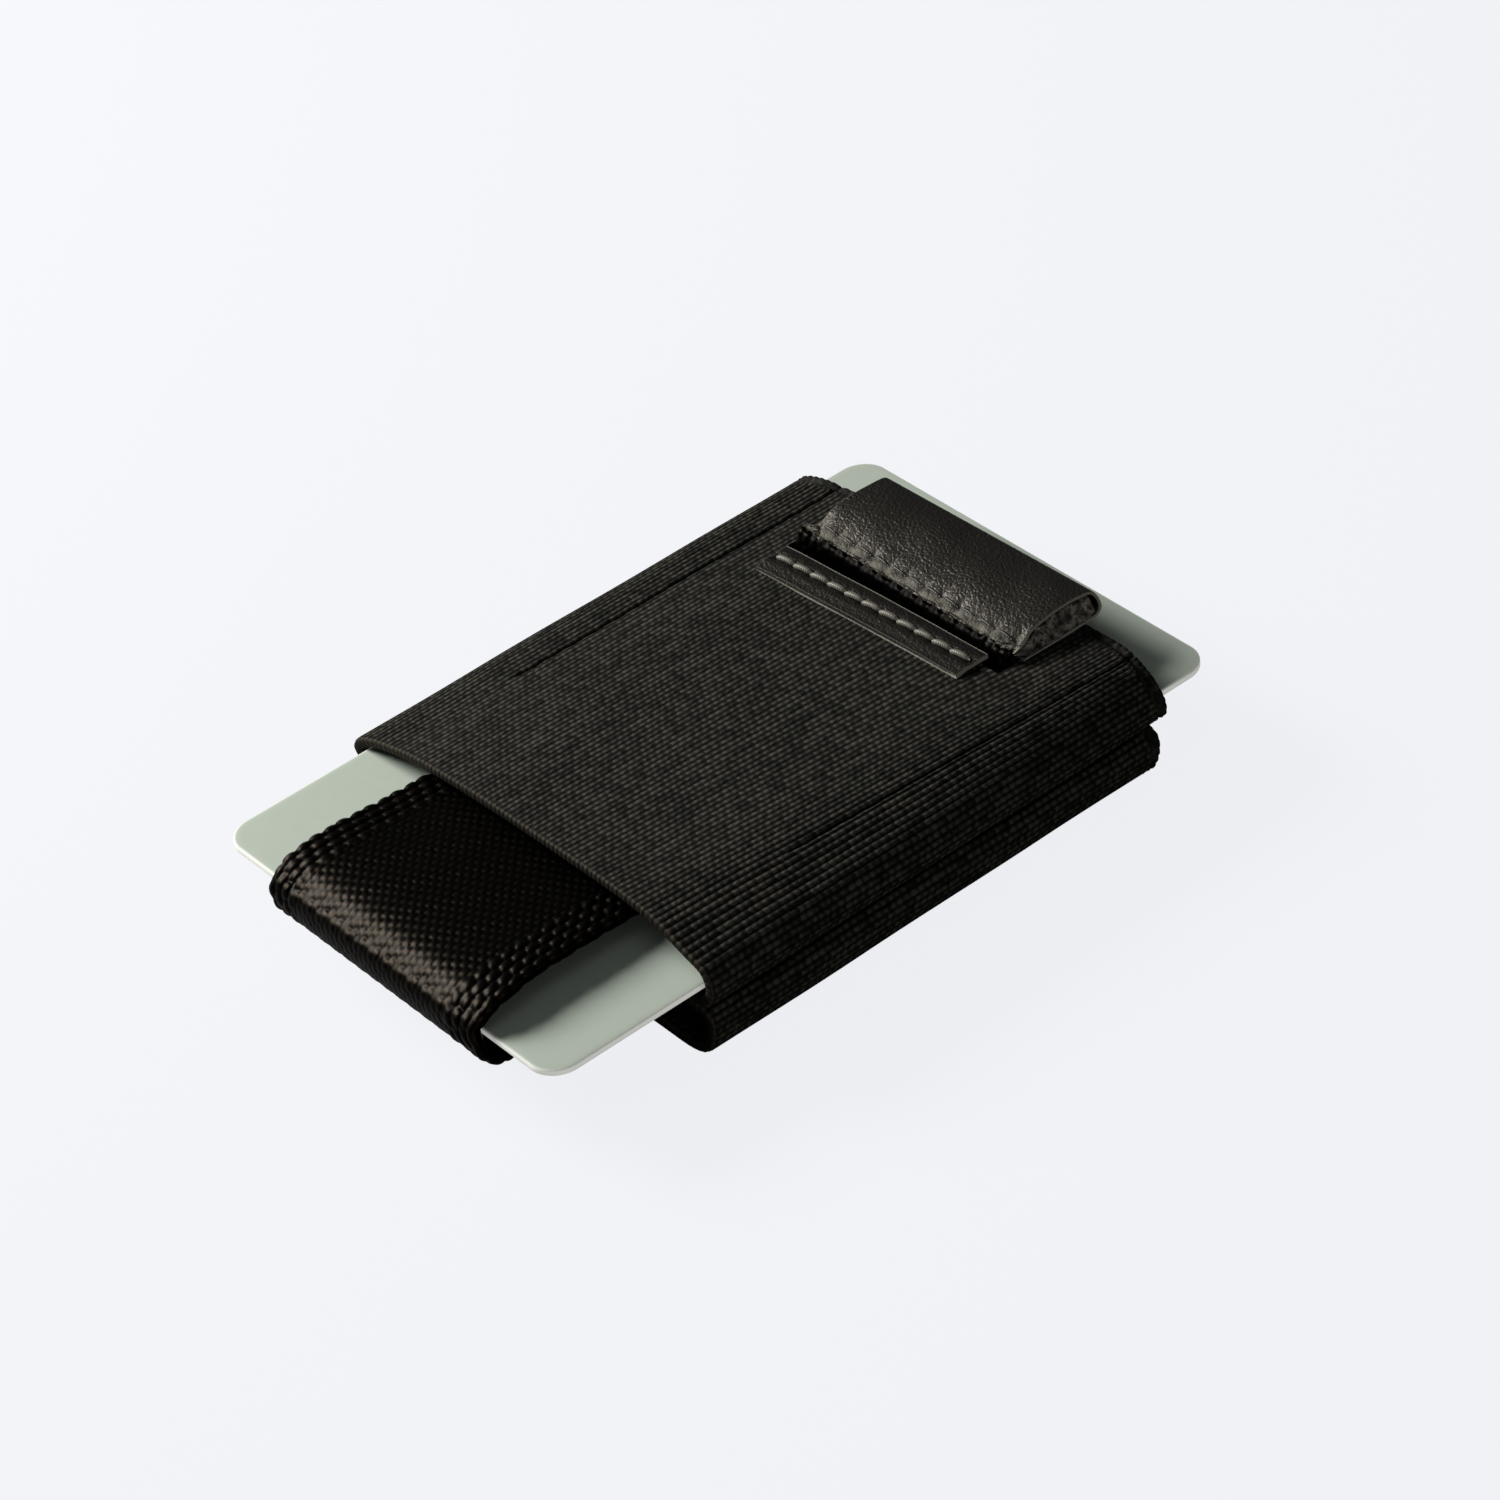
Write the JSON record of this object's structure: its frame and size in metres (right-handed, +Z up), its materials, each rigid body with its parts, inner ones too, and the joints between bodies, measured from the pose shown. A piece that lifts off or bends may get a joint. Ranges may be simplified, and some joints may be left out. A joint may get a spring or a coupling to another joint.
{
  "type": "minimalist wallet",
  "caption": "Slim elastic card sleeve with a cash pocket beneath and a webbing pull strap that ends in a leather tab and slides the card out.",
  "frame": {"origin": "middle of the underside of the elastic sleeve, on the surface it lies on", "axes": "+Z up through the thickness, +X along the card towards the end that the pull tab draws it out of, +Y across the width"},
  "size_m": [0.0873, 0.058, 0.0166],
  "materials": {
    "elastic": "dark ribbed elastic, matt",
    "lining": "plain black lining cloth",
    "thread": "dark waxed thread",
    "webbing": "woven nylon webbing with a satin sheen",
    "leather": "black grained leather",
    "card": "blank sage grey card"
  },
  "bodies": {
    "sleeve": {"card_sleeve": "elastic", "cash_sleeve": "elastic", "channel_lining": "lining", "channel_stitch_left": "thread", "channel_stitch_right": "thread", "deck_stitch_left": "thread", "deck_stitch_right": "thread", "strap_anchor_end": "webbing", "anchor_stitch": "thread", "strap_lower_run": "webbing", "strap_upper_run": "webbing", "strap_slot_riser": "webbing", "slot_patch": "leather", "patch_stitch": "thread"},
    "card": {"card": "card", "strap_front_loop": "webbing"},
    "tab_neck": {"strap_neck": "webbing"},
    "tab_tongue": {"strap_tail": "webbing", "tab_leather": "leather", "tab_stitch": "thread"}
  },
  "joints": [
    {"name": "card_slide", "type": "slide", "parent": "sleeve", "child": "card", "axis": [1, 0, 0], "range_m": [0, 0.015], "deforming": ["strap_lower_run", "strap_upper_run"]},
    {"name": "tab_slide", "type": "slide", "parent": "sleeve", "child": "tab_neck", "axis": [1, 0, 0], "range_m": [0, 0.03], "deforming": ["strap_slot_riser"]},
    {"name": "tab_lift", "type": "hinge", "parent": "tab_neck", "child": "tab_tongue", "pos_m": [0.0206, 0, 0.0152], "axis": [0, -1, 0], "range_deg": [0, 70]}
  ],
  "couplings": [
    {"joint": "tab_slide", "follows": "card_slide", "ratio": 2}
  ]
}
